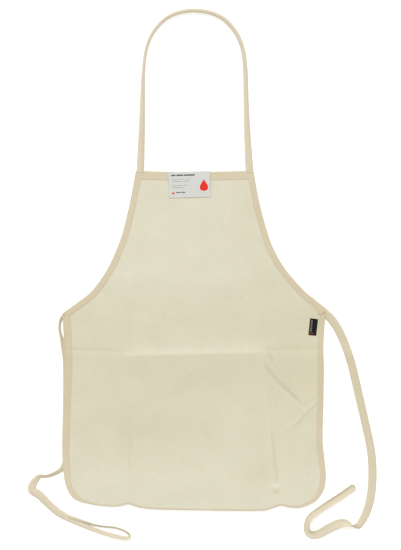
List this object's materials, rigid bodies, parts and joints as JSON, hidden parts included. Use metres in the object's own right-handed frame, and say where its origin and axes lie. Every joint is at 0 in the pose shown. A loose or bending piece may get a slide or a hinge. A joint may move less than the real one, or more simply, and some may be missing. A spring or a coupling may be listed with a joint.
{
  "type": "artist smock apron",
  "caption": "Small canvas painting apron lying flat: bound bib and skirt, neck loop, two waist ties, a printed label and a side label.",
  "frame": {"origin": "centre of the box round the apron and its neck loop, on the surface that it lies on", "axes": "+Z out of the apron's front, +Y from the hem towards the neck loop, +X to the right seen from the front"},
  "size_m": [0.5196, 0.8009, 0.0035],
  "materials": {
    "canvas": "matte plain weave",
    "binding_tape": "matte folded bias tape",
    "strap_tape": "matte folded cotton tape",
    "thread": "matte",
    "printed_label": "smooth printed",
    "woven_label": "satin weave"
  },
  "bodies": {
    "skirt": {"skirt_panel": "canvas", "hem_binding": "binding_tape", "hem_stitching": "thread", "armhole_binding_left_lower": "binding_tape", "armhole_binding_right_lower": "binding_tape", "armhole_stitching_left_lower": "thread", "armhole_stitching_right_lower": "thread", "waist_bartack_left": "thread", "waist_bartack_right": "thread"},
    "bib": {"bib_panel": "canvas", "top_binding": "binding_tape", "top_stitching": "thread", "armhole_binding_left_upper": "binding_tape", "armhole_binding_right_upper": "binding_tape", "armhole_stitching_left_upper": "thread", "armhole_stitching_right_upper": "thread", "neck_bartack_left": "thread", "neck_bartack_right": "thread"},
    "neck_loop": {"neck_strap": "strap_tape"},
    "tie_left": {"waist_tie_left": "strap_tape"},
    "tie_right": {"waist_tie_right": "strap_tape"},
    "front_label_flap": {"front_label": "printed_label"},
    "side_label_flap": {"side_label": "woven_label"}
  },
  "joints": [
    {"name": "bib_fold", "type": "hinge", "parent": "skirt", "child": "bib", "pos_m": [0, -0.06, 0.0074], "axis": [1, 0, 0], "range_deg": [0, 179.9]},
    {"name": "neck_loop_fold", "type": "hinge", "parent": "bib", "child": "neck_loop", "pos_m": [0, 0.1343, 0.0054], "axis": [1, 0, 0], "range_deg": [0, 179.9]},
    {"name": "tie_left_swing", "type": "hinge", "parent": "skirt", "child": "tie_left", "pos_m": [-0.1945, -0.0815, 0.0005], "axis": [0, 0, 1], "range_deg": [-60, 1]},
    {"name": "tie_right_swing", "type": "hinge", "parent": "skirt", "child": "tie_right", "pos_m": [0.1945, -0.078, 0.0005], "axis": [0, 0, 1], "range_deg": [-5, 60]},
    {"name": "front_label_flip", "type": "hinge", "parent": "bib", "child": "front_label_flap", "pos_m": [-0.00731, 0.13279, 0.00335], "axis": [-0.9997, -0.0262, 0], "range_deg": [0, 179.5]},
    {"name": "side_label_flip", "type": "hinge", "parent": "skirt", "child": "side_label_flap", "pos_m": [0.18447, -0.10074, 0.00335], "axis": [0.108, 0.9942, 0], "range_deg": [0, 179.5]}
  ]
}
